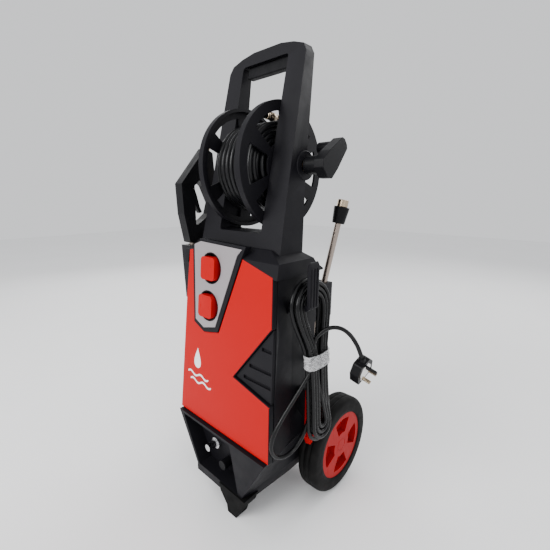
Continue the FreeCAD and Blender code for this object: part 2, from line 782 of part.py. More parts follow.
def cord_tube(label, route, radius):
    """A round cord along straight runs joined by tangent arcs."""
    points = [V(*p) for p in route]
    edges = []
    start = points[0]
    for before, corner, after in zip(points, points[1:], points[2:]):
        back = before - corner
        ahead = after - corner
        turn = math.pi - back.getAngle(ahead)
        shorter = min(back.Length, ahead.Length)
        reach = 0.45 * shorter
        bend = reach / math.tan(turn / 2.0)
        print(label, "bend radius", round(bend, 1), "mm, turn", round(math.degrees(turn)), "degrees")
        back.normalize()
        ahead.normalize()
        first = corner + back * reach
        last = corner + ahead * reach
        bisector = (back + ahead).normalize()
        middle = corner + bisector * (math.hypot(bend, reach) - bend)
        edges.append(Part.LineSegment(start, first).toShape())
        edges.append(Part.Arc(first, middle, last).toShape())
        start = last
    edges.append(Part.LineSegment(start, points[-1]).toShape())
    path = Part.Wire(edges)
    ring = Part.Wire([Part.makeCircle(radius, points[0], points[1] - points[0])])
    tube = doc.addObject("Part::Feature", label)
    tube.Shape = path.makePipeShell([ring], True, False)
    tube.Label = label
    tube.Placement = FreeCAD.Placement()
    expected = math.pi * radius**2 * path.Length
    print(label, "length", round(path.Length), "mm, volume ratio", round(tube.Shape.Volume / expected, 4))
    return keep(tube)


LEAD_IN = [(146, -5, 330), (158, -7, 331), (169, -15, 335)]
FRONT_LOOP = [(172, -62, 350), (167, -82, 325), (162, -105, 299), (156, -130, 271), (151, -151, 242),
              (149, -159, 214), (151, -149, 190), (156, -127, 179), (161, -103, 184), (166, -84, 202),
              (170, -71, 233), (173, -64, 272), (174, -60, 320)]
FREE_END = [(170, -62, 402), (177, -54, 418), (187, -45, 429), (200, -37, 433.5), (214, -31, 432),
            (227, -26.5, 423), (237, -22.5, 409), (243.5, -18.5, 394), (247.4, -14.3, 377.5)]
PRONGS = (("earth", 0, 11, 4, 8, 22.7), ("live", -11.1, -11, 6.4, 4, 17.7),
          ("neutral", 11.1, -11, 6.4, 4, 17.7))
"""Name, place across and up the face, width, height and reach."""

PLUG_TURN = FreeCAD.Rotation(V(0, 1, 0), 14).multiply(FreeCAD.Rotation(V(1, 0, 0), 25))
PLUG_PLACE = FreeCAD.Placement(V(241, -2, 352), PLUG_TURN)


def cord_and_plug():
    """Gland, the free stretches of the cord and the three-pin plug."""
    keep(cone("cord_gland", "9", "6", "20", (126, -5, 330), ALONG_X))
    radius = size("cord_radius")
    cord_tube("cord_lead_in", LEAD_IN, radius)
    cord_tube("cord_front_loop", FRONT_LOOP, radius)
    cord_tube("cord_free_end", FREE_END, radius)
    plug = body("plug_blank", PLUG_PLACE)
    face = sketch_on(plug, "YZ_Plane")
    add_outline(face, [(-23, -24), (23, -24), (25, 4), (14, 22), (-14, 22), (-25, 4)], 5.0)
    pad(plug, face, "19", side="Symmetric")
    tail = cone("plug_tail", "8.5", "5.4", "14", tuple(PLUG_PLACE.multVec(V(0, 0, 18))),
                PLUG_PLACE.Rotation)
    bore = cylinder("plug_cord_bore", "sizes.cord_radius", "30", tuple(PLUG_PLACE.multVec(V(0, 0, 29))),
                    PLUG_PLACE.Rotation)
    keep(cut("plug_body", fuse("plug_whole", plug, tail), bore))
    prongs = []
    for word, y, level, wide, tall, reach in PRONGS:
        corner = tuple(PLUG_PLACE.multVec(V(9.5, y - wide / 2, level - tall / 2)))
        sides = (str(reach), str(wide), str(tall))
        prongs.append(box(f"prong_{word}", sides, corner, PLUG_PLACE.Rotation))
    keep(group("plug_pins", prongs))


# ---------------------------------------------------------------- inside and fasteners


def machinery():
    """Motor over the pump, the controls behind the panel, and the water fittings."""
    keep(cylinder("motor", "sizes.motor_radius", "sizes.motor_length", (0, -66, 192)))
    pump = box("pump_blank", ("96", "78", "100"), (-56, -106, 90))
    inlet_bore = cylinder("pump_inlet_bore", "sizes.inlet_radius - 1", "12", (-40, -94, 112),
                          ALONG_FRONT)
    keep(cut("pump_block", pump, inlet_bore))
    keep(box("switch_box", ("50", "34", "48"), (-68, -94, 500)))
    keep(cylinder("pressure_regulator", "14", "34", (-48, -94, 444), ALONG_Y))
    stem = cylinder("inlet_stem", "sizes.inlet_radius - 1", "40", (-40, -94, 112), ALONG_FRONT)
    nut = cylinder("inlet_nut", "13", "9", (-40, -130, 112), ALONG_FRONT)
    nipple = cylinder("inlet_nipple", "sizes.inlet_radius", "23", (-40, -139, 112), ALONG_FRONT)
    keep(fuse("inlet_connector", stem, nut, nipple))
    keep(cylinder("outlet_coupling", "11", "24", (0, -130, 84), ALONG_FRONT))


def fasteners():
    """Screws in the back of the casing."""
    back = size("back_y")
    screws = []
    for level in (200, 290, 470, 515):
        for x in (-98, 98):
            if level == 470 and x > 0:
                continue
            label = f"screw_{level}_{'left' if x < 0 else 'right'}"
            screws.append(cylinder(label, "5", "2.5", (x * 0.84, back, level), ALONG_Y))
    keep(group("casing_screws", screws))


def solid_blocks():
    """Filled copies of the casing and the front plane, used only to trim what is fixed to them."""
    low = mirrored(casing_outline(*CASING_FOOT))
    high = mirrored(casing_outline(*CASING_HEAD))
    loft("shell_solid", "XY_Plane", [(CASING_FOOT[0], low), (CASING_HEAD[0], high)])
    profile("panel_space", "XY_Plane", front_outline(BEZEL), "sizes.cover_depth + 10",
            offset=-size("cover_depth"), placement=FRONT)
    profile("cover_space", "XY_Plane", front_outline(COVER), "sizes.cover_depth + 10",
            offset=-size("cover_depth"), placement=FRONT)
    outline = [(-144, 171), (144, 171), (132, 438), (127, 556), (-124, 556), (-132, 438)]
    profile("front_solid", "XY_Plane", front_outline(outline), "30", reverse=True, placement=FRONT)


def build():
    solid_blocks()
    base = base_shell()
    front_feet(base)
    rear_shell()
    front = front_cover()
    louvre_panel()
    fascia_bezel()
    control_fascia()
    keep(group("knob_cups", [knob_set(word, x, level) for word, x, level in KNOBS]))
    frame = handle_frame()
    handle_grip()
    top_cover(frame, front)
    reel_bearings()
    reel()
    crank()
    rear_grille()
    wheel_guards()
    axle()
    wheel("left", -1)
    wheel("right", 1)
    gun_holster()
    gun()
    lance()
    cord_hook()
    cord_hank()
    cord_and_plug()
    machinery()
    fasteners()
    doc.recompute()


def check_and_write():
    """Stop on any failed object or bad solid, then write one file for each piece."""
    for obj in doc.Objects:
        if "Invalid" in obj.State or "Error" in obj.State:
            raise RuntimeError(f"{obj.Label} failed: {obj.State}")
    os.makedirs("parts", exist_ok=True)
    for old in os.listdir("parts"):
        os.remove(os.path.join("parts", old))
    for piece in pieces:
        shape = piece.Shape
        if shape.isNull() or not shape.isValid() or shape.Volume <= 0:
            raise RuntimeError(f"{piece.Label} is not a valid solid")
        shape.exportStep(os.path.join("parts", piece.Label + ".step"))
        limits = shape.optimalBoundingBox()
        print(piece.Label, "solids", len(shape.Solids),
              "x", round(limits.XMin, 1), round(limits.XMax, 1),
              "y", round(limits.YMin, 1), round(limits.YMax, 1),
              "z", round(limits.ZMin, 1), round(limits.ZMax, 1))
    print(len(pieces), "pieces")


build()
check_and_write()
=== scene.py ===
"""Looks of an upright electric pressure washer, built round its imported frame."""
import json
import math

import bmesh
import bpy
from mathutils import Matrix, Vector, noise


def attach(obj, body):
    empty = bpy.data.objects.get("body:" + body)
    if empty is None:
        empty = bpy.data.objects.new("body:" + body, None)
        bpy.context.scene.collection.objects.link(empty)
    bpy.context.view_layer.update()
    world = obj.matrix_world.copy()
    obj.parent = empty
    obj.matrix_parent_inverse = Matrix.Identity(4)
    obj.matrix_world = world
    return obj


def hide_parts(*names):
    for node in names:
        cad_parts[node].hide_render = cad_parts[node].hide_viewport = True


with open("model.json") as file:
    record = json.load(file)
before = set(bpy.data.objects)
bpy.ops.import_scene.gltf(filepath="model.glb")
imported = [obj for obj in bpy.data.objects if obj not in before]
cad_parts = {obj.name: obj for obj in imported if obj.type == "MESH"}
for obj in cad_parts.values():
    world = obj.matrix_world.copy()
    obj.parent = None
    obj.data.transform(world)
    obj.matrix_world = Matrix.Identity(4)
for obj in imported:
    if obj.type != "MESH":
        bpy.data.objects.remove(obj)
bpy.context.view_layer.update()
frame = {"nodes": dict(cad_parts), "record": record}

RECORD = frame["record"]
BODY_OF = {node: name for name, nodes in RECORD["behaviour"]["bodies"].items() for node in nodes}
SLOT_OF = {part["node"]: part["material_slot"] for part in RECORD["subparts"]}
MM = 0.001

# The front plane leans back by this angle and passes through this y and level, in mm.
FRONT_LEAN = math.radians(4.619)
FRONT_Y = -158.5
FRONT_LEVEL = 171.0


# ---------------------------------------------------------------- camera


def make_camera():
    """Wide, slightly high three-quarter view from the machine's right front."""
    turn, dip, roll = 0.7526, 0.2254, 0.0019
    forward = Vector((-math.sin(turn) * math.cos(dip), math.cos(turn) * math.cos(dip), -math.sin(dip)))
    right = Vector((math.cos(turn), math.sin(turn), 0.0))
    up = right.cross(forward)
    right, up = (math.cos(roll) * right + math.sin(roll) * up,
                 math.cos(roll) * up - math.sin(roll) * right)
    data = bpy.data.cameras.new("camera")
    data.sensor_width = 36.0
    data.lens = 22.92
    data.shift_x = 0.018
    camera = bpy.data.objects.new("camera", data)
    bpy.context.collection.objects.link(camera)
    rotation = Matrix((right, up, -forward)).transposed().to_4x4()
    camera.matrix_world = Matrix.Translation((0.526, -0.5759, 0.6744)) @ rotation
    bpy.context.scene.camera = camera


make_camera()


# ---------------------------------------------------------------- material tools


class Shader:
    """A Principled material with short calls for the nodes that its detail needs."""

    def __init__(self, name, colour, rough, metal=0.0, **sockets):
        self.material = bpy.data.materials.new(name)
        self.material.use_nodes = True
        self.nodes = self.material.node_tree.nodes
        self.links = self.material.node_tree.links
        self.bsdf = self.nodes["Principled BSDF"]
        self.bsdf.inputs["Base Color"].default_value = (*colour, 1.0)
        self.bsdf.inputs["Roughness"].default_value = rough
        self.bsdf.inputs["Metallic"].default_value = metal
        for word, value in sockets.items():
            self.bsdf.inputs[word.replace("_", " ")].default_value = value
        self.coords = self.nodes.new("ShaderNodeTexCoord").outputs["Object"]

    def stretch(self, scale):
        mapping = self.nodes.new("ShaderNodeMapping")
        mapping.inputs["Scale"].default_value = scale
        self.links.new(self.coords, mapping.inputs["Vector"])
        return mapping.outputs["Vector"]

    def noise(self, scale, detail=3.0, rough=0.5, vector=None):
        node = self.nodes.new("ShaderNodeTexNoise")
        node.inputs["Scale"].default_value = scale
        node.inputs["Detail"].default_value = detail
        node.inputs["Roughness"].default_value = rough
        self.links.new(vector or self.coords, node.inputs["Vector"])
        return node.outputs["Fac"]

    def cells(self, scale):
        node = self.nodes.new("ShaderNodeTexVoronoi")
        node.inputs["Scale"].default_value = scale
        self.links.new(self.coords, node.inputs["Vector"])
        return node.outputs["Distance"]

    def remap(self, source, low, high, out_low, out_high):
        node = self.nodes.new("ShaderNodeMapRange")
        for word, value in zip(("From Min", "From Max", "To Min", "To Max"),
                               (low, high, out_low, out_high)):
            node.inputs[word].default_value = value
        self.links.new(source, node.inputs["Value"])
        return node.outputs["Result"]

    def mix(self, factor, first, second):
        node = self.nodes.new("ShaderNodeMix")
        node.data_type = "RGBA"
        self.links.new(factor, node.inputs["Factor"])
        for socket, value in ((node.inputs["A"], first), (node.inputs["B"], second)):
            if isinstance(value, tuple):
                socket.default_value = (*value, 1.0)
            else:
                self.links.new(value, socket)
        return node.outputs["Result"]

    def multiply(self, first, second):
        node = self.nodes.new("ShaderNodeMath")
        node.operation = "MULTIPLY"
        self.links.new(first, node.inputs[0])
        self.links.new(second, node.inputs[1])
        return node.outputs["Value"]

    def edges(self, low=0.53, high=0.60):
        """Where the surface is a worn convex edge."""
        node = self.nodes.new("ShaderNodeNewGeometry")
        return self.remap(node.outputs["Pointiness"], low, high, 0.0, 1.0)

    def facing_up(self):
        geometry = self.nodes.new("ShaderNodeNewGeometry")
        split = self.nodes.new("ShaderNodeSeparateXYZ")
        self.links.new(geometry.outputs["Normal"], split.inputs["Vector"])
        return self.remap(split.outputs["Z"], 0.2, 1.0, 0.0, 1.0)

    def paint(self, source):
        self.links.new(source, self.bsdf.inputs["Base Color"])

    def roughen(self, source):
        self.links.new(source, self.bsdf.inputs["Roughness"])

    def bump(self, *layers):
        """Stack (height, strength, distance) layers of relief."""
        normal = None
        for height, strength, distance in layers:
            node = self.nodes.new("ShaderNodeBump")
            node.inputs["Strength"].default_value = strength
            node.inputs["Distance"].default_value = distance
            self.links.new(height, node.inputs["Height"])
            if normal is not None:
                self.links.new(normal, node.inputs["Normal"])
            normal = node.outputs["Normal"]
        self.links.new(normal, self.bsdf.inputs["Normal"])


def shade(colour, factor):
    """A colour made darker or lighter."""
    return tuple(min(1.0, channel * factor) for channel in colour)


def moulded(name, colour, rough, grain=1500.0, relief=0.25, dust=0.10):
    """Moulded plastic: spark-eroded grain, faint blotches, scuffed edges and a little dust."""
    shader = Shader(name, colour, rough, Specular_IOR_Level=0.13)
    blotch = shader.noise(9.0, 4.0)
    base = shader.mix(blotch, shade(colour, 0.86), shade(colour, 1.14))
    scuffed = shader.mix(shader.multiply(shader.edges(), shader.noise(60.0, 5.0)), base,
                         tuple(min(1.0, channel * 1.5 + 0.003) for channel in colour))
    dusty = shader.remap(shader.multiply(shader.facing_up(), shader.noise(24.0, 6.0)),
                         0.35, 0.8, 0.0, dust)
    shader.paint(shader.mix(dusty, scuffed, (0.18, 0.17, 0.16)))
    shader.roughen(shader.remap(shader.noise(35.0, 5.0), 0.3, 0.7, rough - 0.07, rough + 0.08))
    shader.bump((shader.cells(grain), relief, 0.00012), (shader.noise(7.0, 2.0), 0.10, 0.002))
    return shader.material


def glossy(name, colour, rough):
    """Glossy coloured moulding: slight flow waves, fine scratches and softened edges."""
    shader = Shader(name, colour, rough, Specular_IOR_Level=0.10)
    blotch = shader.noise(5.0, 3.0)
    base = shader.mix(blotch, shade(colour, 0.94), shade(colour, 1.03))
    worn = shader.mix(shader.multiply(shader.edges(0.55, 0.66), shader.noise(80.0, 4.0)), base,
                      tuple(min(1.0, channel * 1.05 + 0.010) for channel in colour))
    grime = shader.remap(shader.noise(14.0, 7.0, 0.65), 0.60, 0.85, 0.0, 0.18)
    shader.paint(shader.mix(grime, worn, shade(colour, 0.72)))
    scratches = shader.noise(420.0, 2.0, 0.6, shader.stretch((1.0, 1.0, 0.05)))
    shader.roughen(shader.remap(scratches, 0.35, 0.75, rough - 0.05, rough + 0.12))
    shader.bump((shader.noise(900.0, 2.0), 0.06, 0.0001), (shader.noise(11.0, 2.0), 0.10, 0.0015))
    return shader.material


def silver_lacquer(name):
    """Silver lacquer with metal flake and faint vertical polishing marks."""
    colour = (0.31, 0.285, 0.297)
    shader = Shader(name, colour, 0.36, metal=0.45)
    flake = shader.noise(2600.0, 1.0)
    base = shader.mix(flake, shade(colour, 0.88), shade(colour, 1.16))
    shader.paint(shader.mix(shader.remap(shader.noise(10.0, 5.0), 0.5, 0.8, 0.0, 0.35), base,
                            shade(colour, 0.82)))
    marks = shader.noise(500.0, 2.0, 0.5, shader.stretch((1.0, 1.0, 0.04)))
    shader.roughen(shader.remap(marks, 0.3, 0.7, 0.30, 0.44))
    shader.bump((marks, 0.05, 0.0001), (shader.noise(18.0, 2.0), 0.06, 0.001))
    return shader.material


def metal(name, colour, rough, along=(1.0, 1.0, 0.05), tarnish=0.25):
    """Turned or drawn metal with fine marks and patches of tarnish."""
    shader = Shader(name, colour, rough, metal=1.0)
    stain = shader.remap(shader.noise(30.0, 6.0, 0.6), 0.5, 0.85, 0.0, tarnish)
    shader.paint(shader.mix(stain, colour, shade(colour, 0.45)))
    marks = shader.noise(700.0, 2.0, 0.5, shader.stretch(along))
    shader.roughen(shader.remap(marks, 0.3, 0.7, rough - 0.06, rough + 0.10))
    shader.bump((marks, 0.12, 0.0001))
    return shader.material


def rubber(name, colour, rough, grain=700.0, relief=0.3, dust=0.3):
    """Matt rubber, chalky with dust on its high spots."""
    shader = Shader(name, colour, rough, Specular_IOR_Level=0.10)
    chalk = shader.remap(shader.noise(45.0, 7.0, 0.6), 0.48, 0.80, 0.0, dust)
    base = shader.mix(shader.noise(12.0, 3.0), shade(colour, 0.8), shade(colour, 1.25))
    shader.paint(shader.mix(chalk, base, (0.06, 0.055, 0.05)))
    shader.roughen(shader.remap(shader.noise(60.0, 4.0), 0.3, 0.7, rough - 0.08, rough + 0.08))
    shader.bump((shader.noise(grain, 3.0), relief, 0.0002), (shader.noise(90.0, 4.0), 0.12, 0.0006))
    return shader.material


def sheath(name, colour, rough):
    """Extruded cable jacket: smooth, slightly oily, with faint ripples along it."""
    shader = Shader(name, colour, rough, Coat_Weight=0.06, Coat_Roughness=0.2,
                    Specular_IOR_Level=0.22)
    shader.paint(shader.mix(shader.noise(40.0, 4.0), shade(colour, 0.8), shade(colour, 1.35)))
    shader.roughen(shader.remap(shader.noise(90.0, 4.0), 0.3, 0.7, rough - 0.08, rough + 0.10))
    shader.bump((shader.noise(260.0, 3.0), 0.12, 0.0002))
    return shader.material


def film(name):
    """Clear parcel tape: mostly see-through with milky creases."""
    shader = Shader(name, (0.75, 0.75, 0.76), 0.22, Coat_Weight=0.5, Coat_Roughness=0.1)
    crease = shader.noise(160.0, 6.0, 0.7, shader.stretch((1.0, 1.0, 3.0)))
    shader.paint(shader.mix(crease, (0.55, 0.55, 0.56), (0.95, 0.95, 0.96)))
    shader.links.new(shader.remap(crease, 0.35, 0.68, 0.10, 0.62), shader.bsdf.inputs["Alpha"])
    shader.roughen(shader.remap(crease, 0.3, 0.7, 0.12, 0.40))
    shader.bump((crease, 0.7, 0.0012), (shader.noise(60.0, 3.0), 0.4, 0.002))
    return shader.material


def white_print(name):
    """Pad-printed white ink, thin at its edges."""
    shader = Shader(name, (0.85, 0.85, 0.84), 0.42)
    worn = shader.remap(shader.noise(120.0, 6.0, 0.7), 0.55, 0.8, 0.0, 0.3)
    shader.paint(shader.mix(worn, (0.86, 0.86, 0.85), (0.74, 0.70, 0.69)))
    shader.bump((shader.noise(1500.0, 2.0), 0.08, 0.0001))
    return shader.material


def make_library():
    """Every material by its slot's name, with the tape and the white print."""
    black = (0.0055, 0.0052, 0.0070)
    red = (0.43, 0.0004, 0.0016)
    return {
        "black_plastic": moulded("black_plastic", black, 0.48, dust=0.012),
        "gun_plastic": moulded("gun_plastic", (0.0036, 0.0036, 0.0045), 0.40, grain=1100.0, dust=0.010),
        "red_plastic": glossy("red_plastic", red, 0.36),
        "red_hub": glossy("red_hub", (0.34, 0.0003, 0.0012), 0.42),
        "red_knob": glossy("red_knob", (0.42, 0.0004, 0.0016), 0.32),
        "silver_panel": silver_lacquer("silver_panel"),
        "soft_grip": rubber("soft_grip", (0.0070, 0.0070, 0.0080), 0.62, dust=0.04),
        "tyre_rubber": rubber("tyre_rubber", (0.0030, 0.0029, 0.0029), 0.66, dust=0.10),
        "foot_rubber": rubber("foot_rubber", (0.0024, 0.0024, 0.0024), 0.7, dust=0.05),
        "cord_sheath": sheath("cord_sheath", (0.0022, 0.0022, 0.0026), 0.30),
        "hose_rubber": sheath("hose_rubber", (0.0034, 0.0034, 0.0042), 0.36),
        "bright_steel": metal("bright_steel", (0.36, 0.30, 0.26), 0.30),
        "chromed": metal("chromed", (0.62, 0.62, 0.63), 0.14, tarnish=0.15),
        "brass_fitting": metal("brass_fitting", (0.52, 0.42, 0.30), 0.28, along=(1.0, 1.0, 1.0)),
        "cast_metal": metal("cast_metal", (0.30, 0.30, 0.31), 0.5, along=(1.0, 1.0, 1.0)),
        "motor_body": moulded("motor_body", (0.05, 0.05, 0.055), 0.55, dust=0.1),
        "film": film("clear_film"),
        "print": white_print("white_print"),
    }


LIBRARY = make_library()


# ---------------------------------------------------------------- mesh tools


def place(obj, body, material, replaces=()):
    """Give a piece its material, the body it rides on and the CAD nodes it stands for."""
    obj.data.materials.clear()
    obj.data.materials.append(LIBRARY[material])
    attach(obj, body)
    if replaces:
        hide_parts(*replaces)
    return obj


def new_object(name, mesh):
    obj = bpy.data.objects.new(name, mesh)
    bpy.context.collection.objects.link(obj)
    return obj


def mesh_object(name, points, faces, smooth=True):
    mesh = bpy.data.meshes.new(name)
    mesh.from_pydata([tuple(point) for point in points], [], faces)
    if smooth:
        mesh.shade_smooth()
    return new_object(name, mesh)


def bevel(obj, width, segments=3, angle=28.0):
    """Round off every edge sharper than an angle in degrees."""
    modifier = obj.modifiers.new("edge", "BEVEL")
    modifier.width = width
    modifier.segments = segments
    modifier.limit_method = "ANGLE"
    modifier.angle_limit = math.radians(angle)
    modifier.harden_normals = True
    modifier.use_clamp_overlap = True
    return obj


def dress(node, width, segments=3, angle=28.0):
    """Rebuild a CAD node's surface with clean faces and rounded edges."""
    source = frame["nodes"][node]
    shape = bmesh.new()
    shape.from_mesh(source.data)
    shape.transform(source.matrix_world)
    bmesh.ops.remove_doubles(shape, verts=shape.verts, dist=2e-5)
    bmesh.ops.dissolve_limit(shape, angle_limit=math.radians(0.6), verts=shape.verts,
                             edges=shape.edges)
    shape.verts.index_update()
    points = [vert.co.copy() for vert in shape.verts]
    faces = [[vert.index for vert in face.verts] for face in shape.faces]
    shape.free()
    obj = mesh_object(node + "_skin", points, faces)
    bevel(obj, width * MM, segments, angle)
    return place(obj, BODY_OF[node], SLOT_OF[node], (node,))


def lathe(name, profile, origin, axis, steps=64, ring=False):
    """Turn a profile of (distance along the axis, radius) points, in mm, about an axis."""
    turn = Vector((0, 0, 1)).rotation_difference(Vector(axis).normalized()).to_matrix()
    start = Vector(origin)
    points = []
    for distance, radius in profile:
        for step in range(steps):
            angle = 2.0 * math.pi * step / steps
            local = Vector((radius * math.cos(angle), radius * math.sin(angle), distance)) * MM
            points.append(start + turn @ local)
    faces = []
    rows = len(profile)
    for row in range(rows if ring else rows - 1):
        above = (row + 1) % rows
        for step in range(steps):
            following = (step + 1) % steps
            faces.append([row * steps + step, row * steps + following,
                          above * steps + following, above * steps + step])
    if not ring:
        faces.append(list(range(steps))[::-1])
        faces.append([(rows - 1) * steps + step for step in range(steps)])
    return mesh_object(name, points, faces)


def curve_object(name, points, radius):
    """One NURBS spline through space, given a round section."""
    data = bpy.data.curves.new(name, "CURVE")
    data.dimensions = "3D"
    data.bevel_depth = radius
    data.bevel_resolution = 5
    data.resolution_u = 6
    data.use_fill_caps = True
    spline = data.splines.new("NURBS")
    spline.points.add(len(points) - 1)
    for control, point in zip(spline.points, points):
        control.co = (*point, 1.0)
    spline.order_u = 3
    spline.use_endpoint_u = True
    obj = bpy.data.objects.new(name, data)
    bpy.context.collection.objects.link(obj)
    return obj


# ---------------------------------------------------------------- cords


CORD_DIAMETER = 0.008
HOSE_DIAMETER = 0.011
REEL_AXIS = Vector((0.0, -0.021, 0.728))

# The cord's route from its gland to its plug, in metres. The hank lies between BEND_UP and FRONT_LOOP.
LEAD_IN = [(0.146, -0.005, 0.330), (0.158, -0.007, 0.331), (0.169, -0.015, 0.335)]
BEND_UP = [(0.1745, -0.0185, 0.3445), (0.1745, -0.0190, 0.358), (0.1715, -0.0188, 0.375)]
FRONT_LOOP = [(0.172, -0.062, 0.350), (0.167, -0.082, 0.325), (0.162, -0.105, 0.299),
              (0.156, -0.130, 0.271), (0.151, -0.151, 0.242), (0.149, -0.159, 0.214),
              (0.151, -0.149, 0.190), (0.156, -0.127, 0.179), (0.161, -0.103, 0.184),
              (0.166, -0.084, 0.202), (0.170, -0.071, 0.233), (0.173, -0.064, 0.272),
              (0.174, -0.060, 0.320)]
RISE = [(0.175, -0.059, 0.350), (0.173, -0.061, 0.378)]
FREE_END = [(0.170, -0.062, 0.402), (0.177, -0.054, 0.418), (0.187, -0.045, 0.429),
            (0.200, -0.037, 0.4335), (0.214, -0.031, 0.432), (0.227, -0.0265, 0.423),
            (0.237, -0.0225, 0.409), (0.2435, -0.0185, 0.394), (0.2474, -0.0143, 0.3775)]

# The hank's turns, the points on each, the first point used, where its first turn ends below and
# above, and how far each of its two columns stands from its middle.
HANK_TURNS = 6.5
HANK_STEPS = 40
HANK_FIRST = 3
HANK_LOW = 0.191
HANK_HIGH = 0.521
COLUMN_OFFSET = 0.0047
TIE_LEVEL = 0.365
TIE_Y = -0.046


def hank_x(level):
    """Middle of the hank, which leans out over the wheel."""
    return 0.156 + (0.500 - level) * 0.095


def rounded(depth, radius):
    """Share of the full width at some depth below a round end."""
    return math.sqrt(max(0.0, 1.0 - (1.0 - min(1.0, depth / radius)) ** 2))


def hank_point(turn, angle):
    """One point of the hank: long turns over the hook, pinched together at the tie."""
    column = 2 * (turn % 2) - 1
    low = HANK_LOW + 0.0055 * turn + 0.003 * (turn % 2)
    high = HANK_HIGH - 0.005 * turn
    level = 0.5 * (high + low) + 0.5 * (high - low) * math.cos(angle)
    waist = 0.0275 - 0.0040 * turn
    top_lobe = 0.0588 - 0.0046 * turn
    low_lobe = max(0.0115, 0.0345 - 0.0042 * turn)
    if level > TIE_LEVEL:
        pinch = 1.0 - math.exp(-((level - TIE_LEVEL) / 0.071) ** 2)
        centre = TIE_Y - 0.0095 * pinch
        half = waist + (top_lobe - waist) * pinch
    else:
        pinch = 1.0 - math.exp(-((TIE_LEVEL - level) / 0.115) ** 4)
        centre = TIE_Y + 0.002 * pinch
        half = waist + (low_lobe - waist) * pinch
    half *= rounded(high - level, 0.95 * top_lobe) * rounded(level - low, low_lobe)
    y = centre + math.copysign(half, math.sin(angle))
    return Vector((hank_x(level) + COLUMN_OFFSET * column, y, level))


def hank_points():
    """All the turns, each drifting over to the next as it passes the tie."""
    points = []
    for step in range(HANK_FIRST, int(HANK_TURNS * HANK_STEPS) + 1):
        angle = math.pi / 2.0 - 2.0 * math.pi * step / HANK_STEPS
        turn = step // HANK_STEPS
        share = step / HANK_STEPS - turn
        here = hank_point(turn, angle)
        if share > 0.8:
            here = here.lerp(hank_point(turn + 1, angle), (share - 0.8) / 0.2)
        points.append(tuple(here))
    return points


def power_cord():
    """Mains cord from its gland, through the hank on the hook, to the plug."""
    points = LEAD_IN + BEND_UP + hank_points() + FRONT_LOOP + RISE + FREE_END
    cord = curve_object("power_cord", points, CORD_DIAMETER / 2)
    nodes = ("cord_lead_in", "cord_hank", "cord_front_loop", "cord_free_end")
    place(cord, "chassis", "cord_sheath", replaces=nodes)
    return cord


# The hose's layers, the spacing of its turns, the first layer's radius, the step from one layer to the
# next, half the wound width, the points on each turn and where its end sits.
HOSE_LAYERS = 5
HOSE_PITCH = 0.0121
HOSE_FIRST = 0.0436
HOSE_RISE = 0.0097
HOSE_HALF = 0.0480
HOSE_STEPS = 20
HOSE_END = Vector((0.026, REEL_AXIS.y - 0.018, REEL_AXIS.z + 0.0966))


def on_reel(across, radius, angle):
    """A point at some place along the drum, distance from its axis and angle."""
    return (across, REEL_AXIS.y + radius * math.cos(angle), REEL_AXIS.z + radius * math.sin(angle))


def hose_points():
    """Layers of close, slightly slack turns from the drum outward, and the angle after them."""
    step_angle = 2.0 * math.pi / HOSE_STEPS
    count = int(2.0 * HOSE_HALF / HOSE_PITCH * HOSE_STEPS)
    points = []
    angle = math.radians(200.0)
    across = -HOSE_HALF
    for layer in range(HOSE_LAYERS):
        way = 1.0 if layer % 2 == 0 else -1.0
        for step in range(count):
            slack = 0.0006 * noise.noise(Vector((len(points) * 0.05, 3.0, 1.0)))
            points.append(on_reel(across, HOSE_FIRST + HOSE_RISE * layer + slack, angle))
            across += way * HOSE_PITCH / HOSE_STEPS
            angle -= step_angle
    return points, angle


def reel_hose():
    """High-pressure hose wound on the drum, its end brought round to the fitting on top."""
    points, angle = hose_points()
    radius = HOSE_FIRST + HOSE_RISE * (HOSE_LAYERS - 1)
    lowest, highest = math.radians(118.0), math.radians(138.0)
    while not lowest <= angle % (2.0 * math.pi) <= highest:
        across = points[-1][0]
        points.append(on_reel(across + (HOSE_END.x - across) * 0.12, radius, angle))
        angle -= 2.0 * math.pi / HOSE_STEPS
    for back, drop in ((-0.037, -0.0166), (-0.020, -0.0036), (-0.010, -0.0002), (0.0, 0.0)):
        points.append(tuple(HOSE_END + Vector((0.0, back, drop))))
    hose = curve_object("reel_hose", points, HOSE_DIAMETER / 2)
    return place(hose, "reel", "hose_rubber", replaces=("wound_hose",)), points


cord_piece = power_cord()
hose_piece, hose_route = reel_hose()


# ---------------------------------------------------------------- pieces on the cords


PLUG_TURN = Matrix.Rotation(math.radians(14.0), 4, "Y") @ Matrix.Rotation(math.radians(25.0), 4, "X")
PLUG_PLACE = Matrix.Translation((0.241, -0.002, 0.352)) @ PLUG_TURN


def plug():
    """Three-pin plug: rounded cover, pale pin face, black earth pin and two brass pins."""
    cover = dress("plug_body", width=4.5, segments=5)
    outline = [(-15, -17), (15, -17), (17, 1), (9, 14), (-9, 14), (-17, 1)]
    points = [PLUG_PLACE @ (Vector((x, y, z)) * MM) for x in (9.0, 10.4) for y, z in outline]
    count = len(outline)
    faces = [list(range(count))[::-1], [count + step for step in range(count)]]
    for step in range(count):
        following = (step + 1) % count
        faces.append([step, following, count + following, count + step])
    face = mesh_object("plug_face", points, faces)
    bevel(face, 0.6 * MM, 2)
    place(face, "chassis", "print")
    pins = dress("plug_pins", width=0.5, segments=2)
    pins.data.materials.append(LIBRARY["gun_plastic"])
    back = PLUG_PLACE.inverted()
    for prong in pins.data.polygons:
        if (back @ prong.center).z > 3.0 * MM:
            prong.material_index = 1
    return [cover, face, pins]


